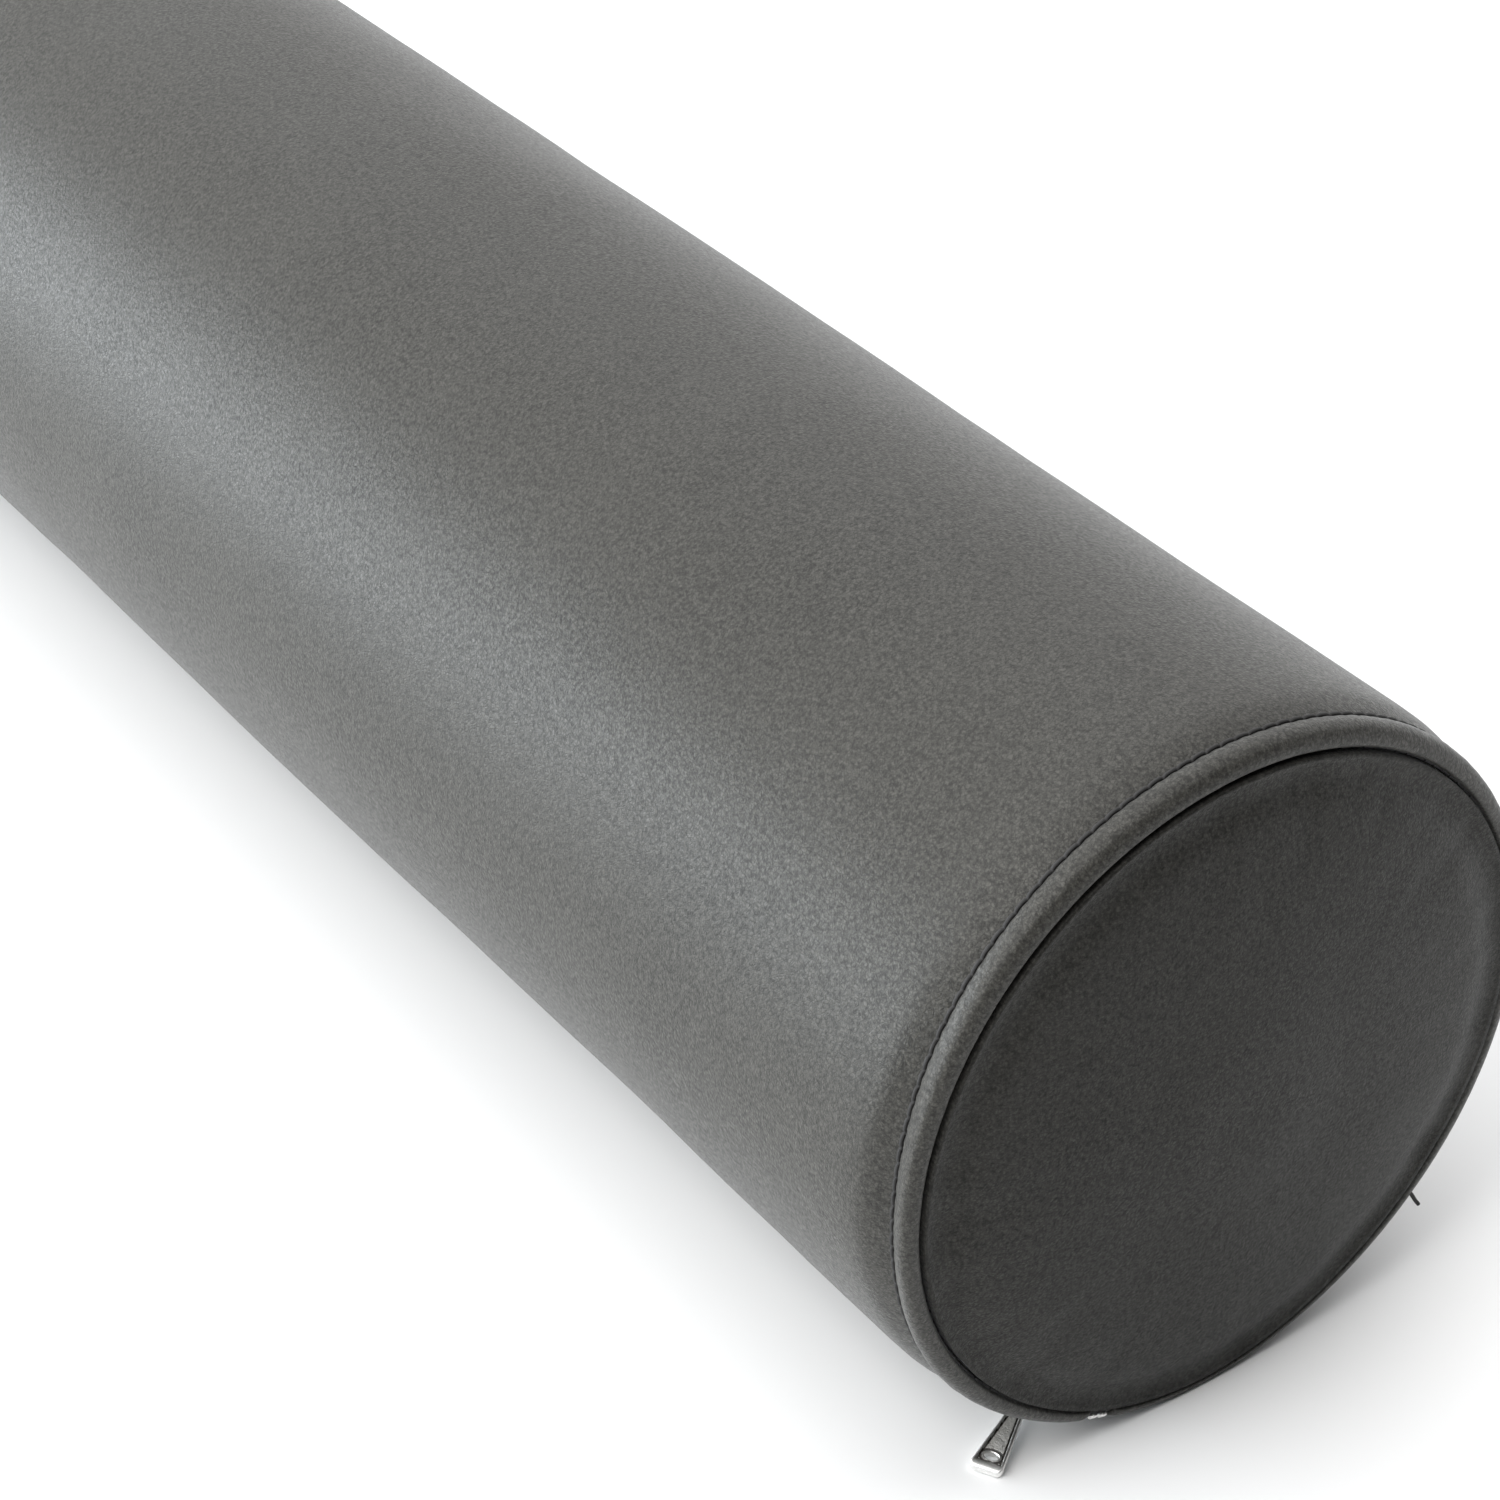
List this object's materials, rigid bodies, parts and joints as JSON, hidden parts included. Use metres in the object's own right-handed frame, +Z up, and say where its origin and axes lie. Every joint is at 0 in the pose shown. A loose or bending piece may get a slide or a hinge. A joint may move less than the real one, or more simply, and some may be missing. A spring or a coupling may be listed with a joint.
{
  "type": "bolster pillow",
  "caption": "Round leather-covered bolster pillow with domed ends, a rolled and topstitched rim, and a zipped cover over a lined foam core.",
  "frame": {"origin": "on the ground, in the middle of the flat that the bolster rests on", "axes": "+X along the bolster towards the end where the zip closes, +Z up, -Y the side the zip pull hangs on"},
  "size_m": [0.66, 0.1498, 0.1489],
  "materials": {
    "cover_leather": "soft matt coated leather with a fine grain, dark warm grey",
    "thread": "black polyester sewing thread",
    "zip_tape": "black woven zip tape",
    "zip_teeth": "black nylon coil",
    "zip_metal": "bright nickel-plated die casting",
    "liner": "off-white non-woven liner cloth",
    "foam": "pale yellow open-cell foam"
  },
  "bodies": {
    "cover": {"cover_tube": "cover_leather", "front_end_panel": "cover_leather", "rear_end_panel": "cover_leather", "front_topstitch": "thread", "rear_topstitch": "thread", "front_seam_thread": "thread", "rear_seam_thread": "thread", "closing_seam_thread": "thread", "zip_stitching_near": "thread", "zip_stitching_far": "thread", "zip_tape_near": "zip_tape", "zip_tape_far": "zip_tape", "zip_teeth_near": "zip_teeth", "zip_teeth_far": "zip_teeth", "zip_top_stop_near": "zip_metal", "zip_top_stop_far": "zip_metal", "zip_bottom_stop": "zip_metal", "liner_sleeve": "liner", "liner_front_cap": "liner", "liner_rear_cap": "liner", "foam_core": "foam"},
    "slider": {"slider_body": "zip_metal", "slider_crown": "zip_metal"},
    "pull_link": {"pull_link": "zip_metal"},
    "pull_tab": {"pull_tab": "zip_metal"}
  },
  "joints": [
    {"name": "zip_travel", "type": "slide", "parent": "cover", "child": "slider", "axis": [-1, 0, 0], "range_m": [-0.0065, 0.525]},
    {"name": "pull_swivel", "type": "hinge", "parent": "slider", "child": "pull_link", "pos_m": [0.3052, -0.02669, 0.00261], "axis": [0, -0.3502, -0.9367], "range_deg": [-150, 40]},
    {"name": "pull_lift", "type": "hinge", "parent": "pull_link", "child": "pull_tab", "pos_m": [0.30816, -0.03191, 0.00306], "axis": [0.8695, 0.4939, 0], "range_deg": [-12, 80]}
  ]
}
